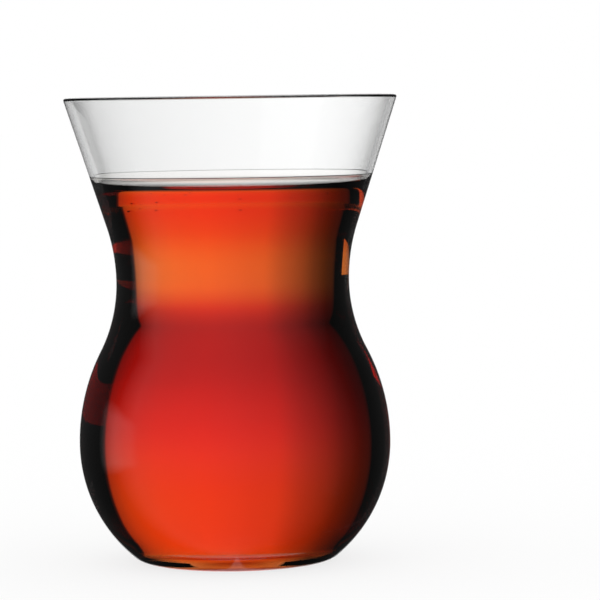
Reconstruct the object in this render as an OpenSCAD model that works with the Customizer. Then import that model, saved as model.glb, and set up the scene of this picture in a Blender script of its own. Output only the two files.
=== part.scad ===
// Turkish tea glass filled with black tea: a thin-walled glass with a flared
// mouth, a narrow waist and a round belly, and the drink that it holds.
// Millimetres, +Z up. The origin is the centre of the ring it stands on.

/* [Overall] */
// Height from the table to the top of the lip
height = 95; // [84:1:130]
// Diameter over the outside of the lip
rim_d = 68; // [54:1:90]

/* [Waist] */
// Outside diameter at the narrowest point
waist_d = 47.7; // [39:0.1:57]
// Height of the narrowest point
waist_h = 57.3; // [46:0.1:68]
// Radius of the hollow curve above the narrowest point
neck_r = 36.5; // [24:0.5:60]
// Radius of the hollow curve below the narrowest point
hollow_r = 30.5; // [20:0.5:45]

/* [Belly] */
// Outside diameter at the widest point
belly_d = 63.8; // [53:0.1:80]
// Height of the widest point
belly_h = 24.3; // [19:0.1:32]

/* [Foot] */
// Outside diameter of the ring that the glass stands on
foot_d = 36.6; // [30:0.1:46]
// Radius that rounds the ring into the belly
foot_r = 4.5; // [2:0.1:6]
// Diameter of the hollow underneath, inside the ring
punt_d = 27.6; // [20:0.1:29]
// Depth of the hollow underneath
punt_h = 1.7; // [0.5:0.1:2.4]

/* [Wall] */
// Thickness of the side wall
wall = 1; // [0.8:0.1:2]
// Thickness from the table to the inside floor
base_t = 3.6; // [3:0.1:6]
// Radius of the curve between the inside floor and the side wall
floor_r = 12; // [6:0.5:13.5]

/* [Tea] */
// Depth of the flat part of the drink's surface below the top of the lip
fill_gap = 18.2; // [8:0.1:55]
// Height that the drink climbs above that at the wall
meniscus_h = 2.4; // [1:0.1:3]
// Distance from the wall in which the climb falls to about a third
meniscus_w = 2.7; // [1.5:0.1:3.5]

/* [Hidden] */

$fn = 96;
// Largest turn, in degrees, between neighbouring points of a curve
arc_step = 3;
// Width of the climbing edge, as a number of meniscus_w, and its points
meniscus_reach = 4;
meniscus_points = 10;
punt_points = 12;

rim_r = rim_d / 2;
waist_r = waist_d / 2;
belly_r = belly_d / 2;
foot_ring_r = foot_d / 2;
punt_r = punt_d / 2;
lip_r = wall / 2;

// The side is five curves that run into each other without a corner. Each
// has a centre and a radius in the plane of the axis, as [radius, height].
// Above and below the narrowest point:
neck_c = [waist_r + neck_r, waist_h];
hollow_c = [waist_r + hollow_r, waist_h];
// From the hollow to the widest point: the radius that meets both
swell = belly_r - waist_r;
drop = waist_h - belly_h;
shoulder_r = (drop * drop + swell * swell) / (2 * swell) - hollow_r;
shoulder_c = [belly_r - shoulder_r, belly_h];
shoulder_a = atan2(drop, hollow_c.x - shoulder_c.x);
// From the widest point to the foot: the radius that meets both
foot_c = [foot_ring_r, foot_r];
tuck = belly_r - foot_ring_r;
rise = belly_h - foot_r;
bowl_r = (tuck * tuck + rise * rise - foot_r * foot_r) / (2 * (tuck - foot_r));
bowl_c = [belly_r - bowl_r, belly_h];
foot_a = atan2(rise, foot_c.x - bowl_c.x);

// The flare is straight. Its middle line leaves the neck's curve and ends at
// the centre of the round lip.
lip_c = [rim_r - lip_r, height - lip_r];
lip_v = lip_c - neck_c;
flare_a = 180 - atan2(lip_v.y, lip_v.x) - acos((neck_r + lip_r) / norm(lip_v));

// The inside floor is flat, and its edge curve meets the wall
floor_drop = belly_h - base_t - floor_r;
floor_gap = bowl_r - wall - floor_r;
floor_c = [bowl_c.x + sqrt(floor_gap * floor_gap - floor_drop * floor_drop), base_t + floor_r];
floor_a = atan2(floor_drop, floor_c.x - bowl_c.x);

tea_h = height - fill_gap;
contact_h = tea_h + meniscus_h;

// A point on a circle
function polar(c, r, a) = c + r * [cos(a), sin(a)];

// Points along an arc, without its last one
function arc(c, r, from, to) =
    let (n = ceil(abs(to - from) / arc_step))
    [for (i = [0 : n - 1]) polar(c, r, from + (to - from) * i / n)];

function reversed(points) = [for (i = [len(points) - 1 : -1 : 0]) points[i]];

// The side from its lowest curve up to the start of the flare, set in from
// the outside by a thickness t; it starts at the angle start below level
function side(t, start) = concat(
    arc(bowl_c, bowl_r - t, -start, 0),
    arc(shoulder_c, shoulder_r - t, 0, shoulder_a),
    arc(hollow_c, hollow_r + t, 180 + shoulder_a, 180),
    arc(neck_c, neck_r + t, 180, 180 - flare_a),
    [polar(neck_c, neck_r + t, 180 - flare_a)]
);

outside = concat(
    arc(foot_c, foot_r, -90, -foot_a),
    side(0, foot_a),
    arc(lip_c, lip_r, -flare_a, 180 - flare_a)
);

inside = concat(
    [[0, base_t]],
    arc(floor_c, floor_r, -90, -floor_a),
    side(wall, floor_a),
    [polar(lip_c, lip_r, 180 - flare_a)]
);

// The hollow underneath is level at its centre and at its edge
function punt_at(s) = punt_h * (1 + cos(180 * s)) / 2;

punt = [for (i = [0 : punt_points]) [punt_r * i / punt_points, punt_at(i / punt_points)]];

// The drink touches the wall up to contact_h
contact_r = lookup(contact_h, [for (p = inside) [p.y, p.x]]);

// Height of the drink's surface at a distance from the wall, given as a
// number of meniscus_w: it falls off as an exponential does
function surface_at(s) =
    tea_h + meniscus_h * (exp(-s) - exp(-meniscus_reach)) / (1 - exp(-meniscus_reach));

surface = [
    for (i = [0 : meniscus_points])
    let (s = meniscus_reach * i / meniscus_points)
    [contact_r - s * meniscus_w, surface_at(s)]
];

module glass() {
    color([0.85, 0.89, 0.9, 0.35])
        rotate_extrude()
            polygon(concat(punt, outside, reversed(inside)));
}

module tea() {
    color([0.55, 0.11, 0.05])
        rotate_extrude()
            polygon(concat([for (p = inside) if (p.y < contact_h) p], surface, [[0, tea_h]]));
}

glass();
tea();
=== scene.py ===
"""A Turkish tea glass filled with black tea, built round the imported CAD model.

The glass and the tea are turned shapes: one line is drawn up the side from arcs that run into
each other, and it is spun round the upright axis. Everything is in metres, +Z up, with the
origin at the centre of the ring that the glass stands on.
"""

import math
import random

import bmesh
import bpy
from mathutils import Matrix, Vector


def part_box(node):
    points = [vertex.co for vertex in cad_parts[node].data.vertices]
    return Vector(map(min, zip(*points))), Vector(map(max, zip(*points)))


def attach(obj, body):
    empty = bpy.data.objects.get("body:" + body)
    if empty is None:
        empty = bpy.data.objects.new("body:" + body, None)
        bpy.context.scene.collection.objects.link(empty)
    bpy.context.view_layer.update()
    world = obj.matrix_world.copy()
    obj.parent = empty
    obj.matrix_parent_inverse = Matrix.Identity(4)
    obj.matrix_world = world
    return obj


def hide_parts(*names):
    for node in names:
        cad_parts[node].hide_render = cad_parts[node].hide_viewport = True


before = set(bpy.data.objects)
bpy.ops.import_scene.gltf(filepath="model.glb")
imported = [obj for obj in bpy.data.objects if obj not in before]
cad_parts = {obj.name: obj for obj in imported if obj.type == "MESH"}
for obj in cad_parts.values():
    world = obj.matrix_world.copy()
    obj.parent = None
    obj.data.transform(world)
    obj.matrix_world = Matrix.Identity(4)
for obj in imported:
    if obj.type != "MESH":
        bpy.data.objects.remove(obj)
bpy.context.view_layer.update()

# Overall sizes, from the CAD model
GLASS_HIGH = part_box("glass")[1]
TEA_LOW, TEA_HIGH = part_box("tea")
HEIGHT = GLASS_HIGH.z
RIM_R = GLASS_HIGH.x
BASE_THICKNESS = TEA_LOW.z
CONTACT_Z = TEA_HIGH.z

# The side's curves, as the CAD model has them
BELLY_R = 0.0319
BELLY_Z = 0.0243
WAIST_R = 0.02385
WAIST_Z = 0.0573
NECK_BEND = 0.0365
HOLLOW_BEND = 0.0305
FOOT_R = 0.0183
FOOT_BEND = 0.0045
PUNT_R = 0.0138
PUNT_DEPTH = 0.0017
WALL = 0.001
LIP_BEND = WALL / 2
FLOOR_BEND = 0.012

# The tea's edge climbs the wall in the curve that water makes, at about half of water's width: its
# width, its slope at the wall in degrees and the slope at which it counts as level
CLIMB_WIDTH = 0.0014
CLIMB_SLOPE = 71
LEVEL_SLOPE = 0.2
CLIMB_STEPS = 30
# Above that a thin film of tea clings to the wall: its height and its thickness
FILM_HEIGHT = 0.0010
FILM = 0.00012
# How far the tea reaches into the wall, so that no gap shows between them
SEEP = 0.0001

# Fineness of the turned shapes: degrees for each step along an arc, and steps in a whole turn
ARC_STEP = 1.5
ROUND_STEPS = 192
# Points closer than this are one point
MERGE_GAP = 1e-7
# Edges that turn by more degrees than this are shaded sharp
SHARP_TURN = 35

# Camera, with its lens in millimetres on a 36 mm sensor and its angles in degrees
CAMERA_DISTANCE = 0.680
CAMERA_HEIGHT = 0.097
CAMERA_LENS = 199.6
CAMERA_PITCH = -3.695
CAMERA_YAW = 1.155
CAMERA_ROLL = 0.8

SEED = 7


# ---------------------------------------------------------------- the line up the side


def on_circle(centre, radius, degrees):
    """The point on a circle at an angle, in the plane of radius and height."""
    turn = math.radians(degrees)
    return Vector((centre.x + radius * math.cos(turn), centre.y + radius * math.sin(turn)))


class Side:
    """Centres, radii and angles of the arcs that make the side, worked out from the sizes above."""

    neck = Vector((WAIST_R + NECK_BEND, WAIST_Z))
    hollow = Vector((WAIST_R + HOLLOW_BEND, WAIST_Z))
    # From the hollow to the widest point
    swell = BELLY_R - WAIST_R
    drop = WAIST_Z - BELLY_Z
    shoulder_bend = (drop * drop + swell * swell) / (2 * swell) - HOLLOW_BEND
    shoulder = Vector((BELLY_R - shoulder_bend, BELLY_Z))
    shoulder_turn = math.degrees(math.atan2(drop, hollow.x - shoulder.x))
    # From the widest point to the foot
    foot = Vector((FOOT_R, FOOT_BEND))
    tuck = BELLY_R - FOOT_R
    rise = BELLY_Z - FOOT_BEND
    bowl_bend = (tuck * tuck + rise * rise - FOOT_BEND * FOOT_BEND) / (2 * (tuck - FOOT_BEND))
    bowl = Vector((BELLY_R - bowl_bend, BELLY_Z))
    foot_turn = math.degrees(math.atan2(rise, foot.x - bowl.x))
    # The straight flare, from the neck to the round lip
    lip = Vector((RIM_R - LIP_BEND, HEIGHT - LIP_BEND))
    flare_line = lip - neck
    flare_slant = math.degrees(math.acos((NECK_BEND + LIP_BEND) / flare_line.length))
    flare_turn = 180 - math.degrees(math.atan2(flare_line.y, flare_line.x)) - flare_slant
    flare_lean = math.tan(math.radians(flare_turn))
    # The inside floor's edge
    floor_drop = BELLY_Z - BASE_THICKNESS - FLOOR_BEND
    floor_gap = bowl_bend - WALL - FLOOR_BEND
    floor = Vector((
        bowl.x + math.sqrt(floor_gap * floor_gap - floor_drop * floor_drop),
        BASE_THICKNESS + FLOOR_BEND,
    ))
    floor_turn = math.degrees(math.atan2(floor_drop, floor.x - bowl.x))
    # The hollow underneath is two equal arcs, one bent each way
    punt_bend = (PUNT_R * PUNT_R + PUNT_DEPTH * PUNT_DEPTH) / (4 * PUNT_DEPTH)
    punt_turn = math.degrees(math.asin(PUNT_R / (2 * punt_bend)))


def start_line(bm, point):
    """The first vertex of a line, at a radius and a height."""
    made = bmesh.ops.create_vert(bm, co=(point.x, 0, point.y))
    return made["vert"][0]


def draw_arc(bm, tip, centre, turn):
    """Draws on from the vertex tip round centre; a positive turn, in degrees, goes from out to up."""
    steps = max(1, math.ceil(abs(turn) / ARC_STEP))
    swept = bmesh.ops.spin(
        bm,
        geom=[tip],
        cent=(centre.x, 0, centre.y),
        axis=(0, -1, 0),
        angle=math.radians(turn),
        steps=steps,
    )
    return next(g for g in swept["geom_last"] if isinstance(g, bmesh.types.BMVert))


def draw_to(bm, tip, point):
    """Draws on from the vertex tip, straight to a point at a radius and a height."""
    made = bmesh.ops.extrude_vert_indiv(bm, verts=[tip])
    new_tip = made["verts"][0]
    move = Vector((point.x, 0, point.y)) - new_tip.co
    bmesh.ops.translate(bm, verts=[new_tip], vec=move)
    return new_tip


def turn_round(bm, name):
    """Spins the drawn line round the upright axis into a closed shape, and makes it an object."""
    bmesh.ops.spin(
        bm,
        geom=bm.verts[:] + bm.edges[:],
        cent=(0, 0, 0),
        axis=(0, 0, 1),
        angle=math.tau,
        steps=ROUND_STEPS,
        use_merge=True,
    )
    bmesh.ops.remove_doubles(bm, verts=bm.verts, dist=MERGE_GAP)
    bmesh.ops.recalc_face_normals(bm, faces=bm.faces)
    return finish_piece(bm, name)


def finish_piece(bm, name):
    """Makes the shape an object, shaded smooth but for its sharp edges."""
    for face in bm.faces:
        face.smooth = True
    mesh = bpy.data.meshes.new(name)
    bm.to_mesh(mesh)
    bm.free()
    mesh.set_sharp_from_angle(angle=math.radians(SHARP_TURN))
    piece = bpy.data.objects.new(name, mesh)
    bpy.context.scene.collection.objects.link(piece)
    return piece


def climbing_edge(slope):
    """Run and height of water's edge on a wall, where it has a slope in degrees."""
    turn = math.radians(slope)
    run = -math.log(math.tan(turn / 4)) - 2 * math.cos(turn / 2)
    return CLIMB_WIDTH * Vector((run, 2 * math.sin(turn / 2)))


def draw_outside(bm, tip):
    """The glass's underside, foot, belly, waist and flare, from the axis to the lip."""
    tip = draw_arc(bm, tip, Vector((0, PUNT_DEPTH - Side.punt_bend)), -Side.punt_turn)
    tip = draw_arc(bm, tip, Vector((PUNT_R, Side.punt_bend)), Side.punt_turn)
    tip = draw_to(bm, tip, Vector((FOOT_R, 0)))
    tip = draw_arc(bm, tip, Side.foot, 90 - Side.foot_turn)
    tip = draw_arc(bm, tip, Side.bowl, Side.foot_turn)
    tip = draw_arc(bm, tip, Side.shoulder, Side.shoulder_turn)
    tip = draw_arc(bm, tip, Side.hollow, -Side.shoulder_turn)
    tip = draw_arc(bm, tip, Side.neck, -Side.flare_turn)
    return draw_to(bm, tip, on_circle(Side.lip, LIP_BEND, -Side.flare_turn))


def draw_inside(bm, tip, seep=0.0):
    """The inside of the wall from the floor's middle up to the flare, set into the wall by seep."""
    tip = draw_to(bm, tip, Vector((Side.floor.x, BASE_THICKNESS - seep)))
    tip = draw_arc(bm, tip, Side.floor, 90 - Side.floor_turn)
    tip = draw_arc(bm, tip, Side.bowl, Side.floor_turn)
    tip = draw_arc(bm, tip, Side.shoulder, Side.shoulder_turn)
    tip = draw_arc(bm, tip, Side.hollow, -Side.shoulder_turn)
    return draw_arc(bm, tip, Side.neck, -Side.flare_turn)


def up_flare(tip, z):
    """The point on the straight flare above the vertex tip at a height."""
    return Vector((tip.co.x + (z - tip.co.z) * Side.flare_lean, z))


# ---------------------------------------------------------------- pieces


def make_glass():
    """The glass: outside and round lip as one line, inside as another, meeting at the lip."""
    bm = bmesh.new()
    tip = draw_outside(bm, start_line(bm, Vector((0, PUNT_DEPTH))))
    draw_arc(bm, tip, Side.lip, 180)
    tip = draw_inside(bm, start_line(bm, Vector((0, BASE_THICKNESS))))
    # The wall in touch with the tea ends at its edge, so the line has a point there
    tip = draw_to(bm, tip, up_flare(tip, CONTACT_Z))
    draw_to(bm, tip, on_circle(Side.lip, LIP_BEND, 180 - Side.flare_turn))
    bmesh.ops.remove_doubles(bm, verts=bm.verts, dist=MERGE_GAP)
    return turn_round(bm, "tea_glass")


def make_tea():
    """The tea: up the inside of the wall, down its film and curved edge, and in to the axis."""
    bm = bmesh.new()
    tip = draw_inside(bm, start_line(bm, Vector((0, BASE_THICKNESS - SEEP))), SEEP)
    edge = up_flare(tip, CONTACT_Z)
    film_end = up_flare(tip, CONTACT_Z - FILM_HEIGHT) - Vector((SEEP + FILM, 0))
    tip = draw_to(bm, tip, edge)
    tip = draw_to(bm, tip, edge - Vector((SEEP + FILM, FILM)))
    tip = draw_to(bm, tip, film_end)
    top = climbing_edge(CLIMB_SLOPE)
    for step in range(1, CLIMB_STEPS + 1):
        slope = CLIMB_SLOPE * (LEVEL_SLOPE / CLIMB_SLOPE) ** (step / CLIMB_STEPS)
        down = climbing_edge(slope) - top
        tip = draw_to(bm, tip, Vector((film_end.x - down.x, film_end.y + down.y)))
    draw_to(bm, tip, Vector((0, tip.co.z)))
    return turn_round(bm, "black_tea")


# Small bubbles near the wall under the tea's edge: how many, their least and greatest radius, and
# how far below the edge they start and end
BUBBLE_COUNT = 26
BUBBLE_R = (0.00007, 0.00019)
BUBBLE_DROP = (0.0028, 0.0042)
BUBBLE_SEGMENTS = 16
BUBBLE_RINGS = 10


def make_bubbles(chance):
    """Bubbles in the tea, each its own radius from the wall, all as one piece."""
    bm = bmesh.new()
    for _ in range(BUBBLE_COUNT):
        size = chance.uniform(*BUBBLE_R)
        drop = chance.uniform(*BUBBLE_DROP)
        turn = chance.uniform(0, math.tau)
        wall_r = RIM_R - WALL - (HEIGHT - CONTACT_Z + drop) * Side.flare_lean
        reach = wall_r - 2 * size
        place = (reach * math.cos(turn), reach * math.sin(turn), CONTACT_Z - drop)
        bmesh.ops.create_uvsphere(
            bm,
            u_segments=BUBBLE_SEGMENTS,
            v_segments=BUBBLE_RINGS,
            radius=size,
            matrix=Matrix.Translation(place),
        )
    return finish_piece(bm, "tea_bubbles")


# ---------------------------------------------------------------- materials


GLASS_IOR = 1.5
TEA_IOR = 1.333
GLASS_COLOUR = (0.998, 1.0, 0.999, 1)
# The colour of mirrored light on a surface that mirrors next to nothing
NO_MIRROR = (0, 0, 0, 1)

# The faint unevenness of pressed glass: its depth, how fine it is and how it is drawn out upward
RIPPLE_DEPTH = 0.00002
RIPPLE_SCALE = 55.0
RIPPLE_STRETCH = (1, 1, 0.35)

# What the tea leaves of the light along its depth, and how fast
TEA_DEPTH_COLOUR = (0.96, 0.54, 0.0, 1)
TEA_DENSITY = 110.0
# Painted shade on the tea: how much green and blue light gets through the tea's surface, by height.
# It stands in for the light and shade of what is behind the glass: real tea is one colour all through
TEA_PAINTED_SHADE = (
    (0.000, 1.00), (0.0036, 1.00), (0.0045, 0.50), (0.015, 0.58), (0.019, 0.50), (0.023, 0.36),
    (0.027, 0.17), (0.032, 0.08), (0.049, 0.12), (0.054, 0.76), (0.058, 1.00), (0.062, 1.00),
    (0.066, 0.80), (0.070, 0.53), (0.074, 0.40), (0.0758, 0.44), (0.0766, 1.00),
)


def new_material(name):
    """A material with its Principled shader, its output and its node tree."""
    material = bpy.data.materials.new(name)
    material.use_nodes = True
    nodes = material.node_tree.nodes
    return material, nodes["Principled BSDF"], nodes["Material Output"]


def add_node(material, kind, inputs=None, **settings):
    """A node with its settings; inputs are numbers for its sockets, or sockets to link to them."""
    node = material.node_tree.nodes.new(kind)
    for key, value in settings.items():
        setattr(node, key, value)
    for key, value in (inputs or {}).items():
        if isinstance(value, bpy.types.NodeSocket):
            material.node_tree.links.new(value, node.inputs[key])
        else:
            node.inputs[key].default_value = value
    return node


def object_place(material):
    """The socket that gives the place on the piece, in metres."""
    return add_node(material, "ShaderNodeTexCoord").outputs["Object"]


def colour_ramp(material, share, stops, curve):
    """The colour at a share of a ramp's length; stops are shares and their colours."""
    ramp = add_node(material, "ShaderNodeValToRGB", {"Fac": share})
    ramp.color_ramp.interpolation = curve
    elements = ramp.color_ramp.elements
    elements.remove(elements[-1])
    for index, (at, colour) in enumerate(stops):
        stop = elements[0] if index == 0 else elements.new(at)
        stop.position = at
        stop.color = colour
    return ramp.outputs["Color"]


def pressed_ripple(material, shader):
    """The faint unevenness of pressed glass, as a bump."""
    stretch = add_node(
        material, "ShaderNodeMapping", {"Vector": object_place(material), "Scale": RIPPLE_STRETCH}
    )
    noise = add_node(
        material,
        "ShaderNodeTexNoise",
        {"Vector": stretch.outputs["Vector"], "Scale": RIPPLE_SCALE, "Detail": 1.0},
    )
    bump = add_node(
        material,
        "ShaderNodeBump",
        {"Height": noise.outputs["Fac"], "Strength": 1.0, "Distance": RIPPLE_DEPTH},
    )
    material.node_tree.links.new(bump.outputs["Normal"], shader.inputs["Normal"])


def glass_material(name, wet=False):
    """Clear soda glass, which mirrors next to nothing where it is wet."""
    material, shader, _ = new_material(name)
    if wet:
        shader.inputs["Specular Tint"].default_value = NO_MIRROR
    shader.inputs["Base Color"].default_value = GLASS_COLOUR
    shader.inputs["Transmission Weight"].default_value = 1
    shader.inputs["Roughness"].default_value = 0
    shader.inputs["IOR"].default_value = GLASS_IOR
    pressed_ripple(material, shader)
    return material


def painted_shade_by_height(material):
    """Painted shade: a colour that deepens in the belly and towards the top, standing in for the
    light and shade behind the glass.
    """
    place = add_node(material, "ShaderNodeSeparateXYZ", {"Vector": object_place(material)})
    share = add_node(
        material, "ShaderNodeMapRange", {"Value": place.outputs["Z"], "From Max": HEIGHT}
    )
    stops = [(z / HEIGHT, (1, passed, passed, 1)) for z, passed in TEA_PAINTED_SHADE]
    return colour_ramp(material, share.outputs[0], stops, "CARDINAL")


def tea_material(name):
    """Clear black tea: light is taken out along its way through, blue first and green next."""
    material, shader, output = new_material(name)
    shader.inputs["Transmission Weight"].default_value = 1
    shader.inputs["Roughness"].default_value = 0
    shader.inputs["IOR"].default_value = TEA_IOR
    shader.inputs["Specular Tint"].default_value = NO_MIRROR
    # The surface's colour is painted shade, by height
    material.node_tree.links.new(painted_shade_by_height(material), shader.inputs["Base Color"])
    depth = add_node(
        material,
        "ShaderNodeVolumeAbsorption",
        {"Color": TEA_DEPTH_COLOUR, "Density": TEA_DENSITY},
    )
    material.node_tree.links.new(depth.outputs["Volume"], output.inputs["Volume"])
    return material


def is_wet(face):
    """Whether a face of the glass is one that the tea touches."""
    middle = face.center
    if middle.z < BASE_THICKNESS - SEEP or middle.z > CONTACT_Z:
        return False
    if middle.z < Side.floor.y:
        return face.normal.z > 0
    return face.normal.x * middle.x + face.normal.y * middle.y < 0


def paint_glass(glass):
    """Dry glass all over, and wet glass where the tea touches it."""
    glass.data.materials.append(glass_material("clear_glass"))
    glass.data.materials.append(glass_material("clear_glass_wet", wet=True))
    for face in glass.data.polygons:
        face.material_index = int(is_wet(face))


# ---------------------------------------------------------------- stage


FLOOR_SIZE = 12.0
# A hair below the ring that the glass stands on
FLOOR_Z = -0.0002
FLOOR_COLOUR = (0.2, 0.2, 0.2, 1)
FLOOR_GLOW = 0.8
FLOOR_ROUGHNESS = 0.9

TENT_R = 1.2
# The mirrored tent is a little wider, so that the two don't meet
MIRRORED_TENT_R = TENT_R * 1.05
TENT_SEGMENTS = 64
TENT_RINGS = 32


def only_for(obj, camera=False, diffuse=False, glossy=False, transmission=False, shadow=False):
    """Which rays meet a stage object."""
    obj.visible_camera = camera
    obj.visible_diffuse = diffuse
    obj.visible_glossy = glossy
    obj.visible_transmission = transmission
    obj.visible_shadow = shadow
    obj.visible_volume_scatter = False


def make_world():
    """Even white light from all round, which the floor gets; the glass and tea see the tents."""
    world = bpy.data.worlds.new("studio")
    bpy.context.scene.world = world
    world.use_nodes = True
    background = world.node_tree.nodes["Background"]
    background.inputs["Color"].default_value = (1, 1, 1, 1)
    background.inputs["Strength"].default_value = 1.0


def make_floor():
    """A plain pale floor, which gives most of its own light, so shadows on it stay pale."""
    bm = bmesh.new()
    bmesh.ops.create_grid(bm, x_segments=1, y_segments=1, size=FLOOR_SIZE / 2)
    floor = finish_piece(bm, "floor")
    material, shader, _ = new_material("pale_floor")
    shader.inputs["Base Color"].default_value = FLOOR_COLOUR
    shader.inputs["Roughness"].default_value = FLOOR_ROUGHNESS
    shader.inputs["Specular IOR Level"].default_value = 0
    shader.inputs["Emission Color"].default_value = (1, 1, 1, 1)
    shader.inputs["Emission Strength"].default_value = FLOOR_GLOW
    floor.data.materials.append(material)
    floor.location.z = FLOOR_Z
    only_for(floor, camera=True, diffuse=True, shadow=True)


# Brightness of the light behind the glass, by the direction from it: degrees from +Y towards +X.
# It is chosen for the camera's own view, and from most other sides the glass looks dark
LEVEL_LIGHT = (
    (-180, 0.0), (-35.5, 0.0), (-35, 0.045), (-30, 0.065), (-26, 0.105), (-22, 0.16),
    (-16, 0.34), (-12, 0.48), (-10, 0.59), (-7, 0.78), (-3, 0.84), (0, 0.90), (5, 0.98),
    (14, 0.94), (19, 0.84), (23, 0.72), (26, 0.62), (31, 0.40), (32.5, 0.0), (180, 0.0),
)
# The same for what the glass mirrors: bright straight behind it, dim beside that, and middling on
# the camera's side
MIRRORED_LIGHT = (
    (-180, 0.42), (-100, 0.42), (-80, 0.06), (-14, 0.03), (-7, 1.0), (7, 1.0), (14, 0.03),
    (80, 0.04), (100, 0.12), (138, 0.32), (180, 0.42),
)
# How much of each is left below and above the level, in degrees
UP_AND_DOWN = (
    (-90, 0.45), (-30, 0.45), (-19, 0.50), (-13, 0.62), (-10, 0.74), (-7, 0.84), (-3, 0.95),
    (0, 0.98), (5, 1.0), (15, 0.98), (33, 0.90), (42, 0.40), (90, 0.30),
)
MIRRORED_UP_AND_DOWN = ((-90, 0.50), (-30, 0.60), (0, 0.98), (30, 0.95), (90, 0.80))
# A window of light to the left, from side to side and up and down
SIDE_LIGHT = ((-180, 0.0), (-120, 0.0), (-98, 0.6), (-82, 0.6), (-60, 0.0), (180, 0.0))
SIDE_UP_AND_DOWN = ((-90, 0.0), (-16, 0.0), (-10, 1.0), (8, 1.0), (14, 0.0), (90, 0.0))
# A dim light overhead, the same all round
OVERHEAD_LIGHT = ((-90, 0.0), (28, 0.0), (42, 0.16), (90, 0.30))
# The strength of all of it together
LIGHT_STRENGTH = 1.2


def ramp_of(material, value, low, high, stops, curve="LINEAR"):
    """A brightness that follows stops along value, which runs from low to high, in degrees."""
    share = add_node(
        material,
        "ShaderNodeMapRange",
        {"Value": value, "From Min": math.radians(low), "From Max": math.radians(high)},
    )
    shares = [(degrees - low) / (high - low) for degrees, _ in stops]
    greys = [(bright, bright, bright, 1) for _, bright in stops]
    return colour_ramp(material, share.outputs[0], zip(shares, greys), curve)


def result_of(material, operation, *values):
    """The result of a sum; its values are numbers or sockets."""
    node = add_node(material, "ShaderNodeMath", dict(enumerate(values)), operation=operation)
    return node.outputs[0]


def make_glow(material, output, strength):
    """Makes a material's surface give light; its strength is a number or a socket."""
    light = add_node(material, "ShaderNodeEmission", {"Strength": strength})
    material.node_tree.links.new(light.outputs[0], output.inputs["Surface"])
    material.cycles.emission_sampling = "NONE"


def tent_material(name, round_light, up_light):
    """Light whose brightness changes round the glass, and up and down."""
    material, shader, output = new_material(name)
    material.node_tree.nodes.remove(shader)
    way = add_node(
        material, "ShaderNodeVectorMath", {0: object_place(material)}, operation="NORMALIZE"
    )
    part = add_node(material, "ShaderNodeSeparateXYZ", {"Vector": way.outputs[0]})
    angle = result_of(material, "ARCTAN2", part.outputs["X"], part.outputs["Y"])
    rise = result_of(material, "ARCSINE", part.outputs["Z"])
    level = ramp_of(material, angle, -180, 180, round_light)
    upright = ramp_of(material, rise, -90, 90, up_light, "CARDINAL")
    bright = result_of(material, "MULTIPLY", level, upright)
    overhead = ramp_of(material, rise, -90, 90, OVERHEAD_LIGHT)
    with_top = result_of(material, "MAXIMUM", bright, overhead)
    side_level = ramp_of(material, angle, -180, 180, SIDE_LIGHT)
    side_upright = ramp_of(material, rise, -90, 90, SIDE_UP_AND_DOWN)
    side = result_of(material, "MULTIPLY", side_level, side_upright)
    most = result_of(material, "MAXIMUM", with_top, side)
    make_glow(material, output, result_of(material, "MULTIPLY", most, LIGHT_STRENGTH))
    return material


def make_tent(name, radius, round_light, up_light, **seen_by):
    """A round tent of light that is seen only through the glass or as its mirror image."""
    bm = bmesh.new()
    bmesh.ops.create_uvsphere(
        bm, u_segments=TENT_SEGMENTS, v_segments=TENT_RINGS, radius=radius
    )
    tent = finish_piece(bm, name)
    tent.data.materials.append(tent_material(name + "_light", round_light, up_light))
    only_for(tent, **seen_by)


CARD_STEPS = 24
# The height of the cards that lie over the floor
LOW_CARD_Z = 0.0003
# Cards of light round the glass: the direction they are in and how wide they are, in degrees, the
# radius and height of their two edges, and how bright they are
CARDS = (
    ("card_low", -45, 22, (0.050, LOW_CARD_Z), (0.085, LOW_CARD_Z), 0.7),
    ("card_high", -45, 32, (0.075, 0.056), (0.075, 0.088), 0.8),
    ("card_right", 135, 46, (0.050, LOW_CARD_Z), (0.560, LOW_CARD_Z), 0.5),
)


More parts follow.
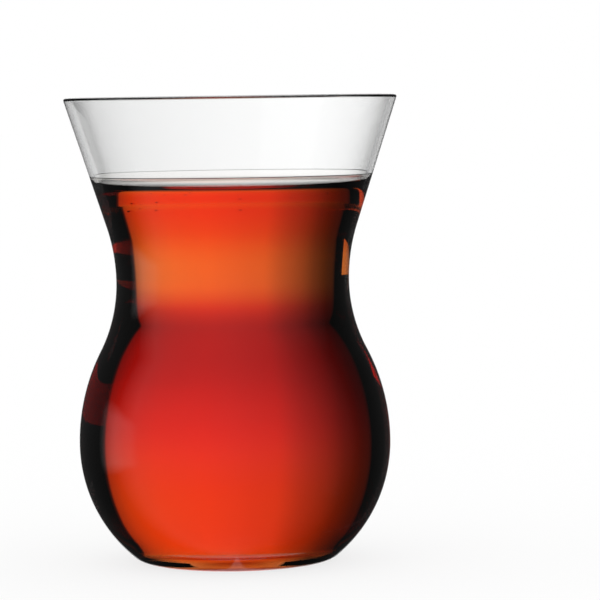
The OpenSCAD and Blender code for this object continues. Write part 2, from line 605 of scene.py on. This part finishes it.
def make_card(name, towards, width, near, far, strength):
    """Part of a ring of light, seen only through the glass."""
    bm = bmesh.new()
    draw_to(bm, start_line(bm, Vector(near)), Vector(far))
    bmesh.ops.spin(
        bm,
        geom=bm.verts[:] + bm.edges[:],
        cent=(0, 0, 0),
        axis=(0, 0, 1),
        angle=math.radians(width),
        steps=CARD_STEPS,
    )
    card = finish_piece(bm, name)
    card.rotation_euler.z = math.radians(90 - towards - width / 2)
    material, shader, output = new_material(name + "_light")
    material.node_tree.nodes.remove(shader)
    make_glow(material, output, strength)
    card.data.materials.append(material)
    only_for(card, transmission=True)


def make_camera():
    """The camera, just above the height of the lip and looking slightly down."""
    data = bpy.data.cameras.new("camera")
    data.lens = CAMERA_LENS
    camera = bpy.data.objects.new("camera", data)
    bpy.context.scene.collection.objects.link(camera)
    camera.location = (0, -CAMERA_DISTANCE, CAMERA_HEIGHT)
    camera.rotation_mode = "QUATERNION"
    level = Matrix.Rotation(math.radians(90), 3, "X")
    pitch = Matrix.Rotation(math.radians(CAMERA_PITCH), 3, "X")
    yaw = Matrix.Rotation(math.radians(-CAMERA_YAW), 3, "Z")
    roll = Matrix.Rotation(math.radians(-CAMERA_ROLL), 3, "Z")
    camera.rotation_quaternion = (yaw @ pitch @ level @ roll).to_quaternion()
    bpy.context.scene.camera = camera


def build():
    """The whole scene."""
    bpy.context.scene.view_settings.view_transform = "Standard"
    glass = make_glass()
    paint_glass(glass)
    tea = make_tea()
    tea.data.materials.append(tea_material("black_tea"))
    bubbles = make_bubbles(random.Random(SEED))
    bubbles.data.materials.append(tea_material("tea_bubble"))
    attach(glass, "root")
    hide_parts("glass")
    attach(tea, "root")
    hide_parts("tea")
    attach(bubbles, "root")
    make_world()
    make_floor()
    make_tent("tent_behind", TENT_R, LEVEL_LIGHT, UP_AND_DOWN, transmission=True)
    make_tent(
        "tent_mirrored", MIRRORED_TENT_R, MIRRORED_LIGHT, MIRRORED_UP_AND_DOWN, glossy=True
    )
    for card in CARDS:
        make_card(*card)
    make_camera()


build()
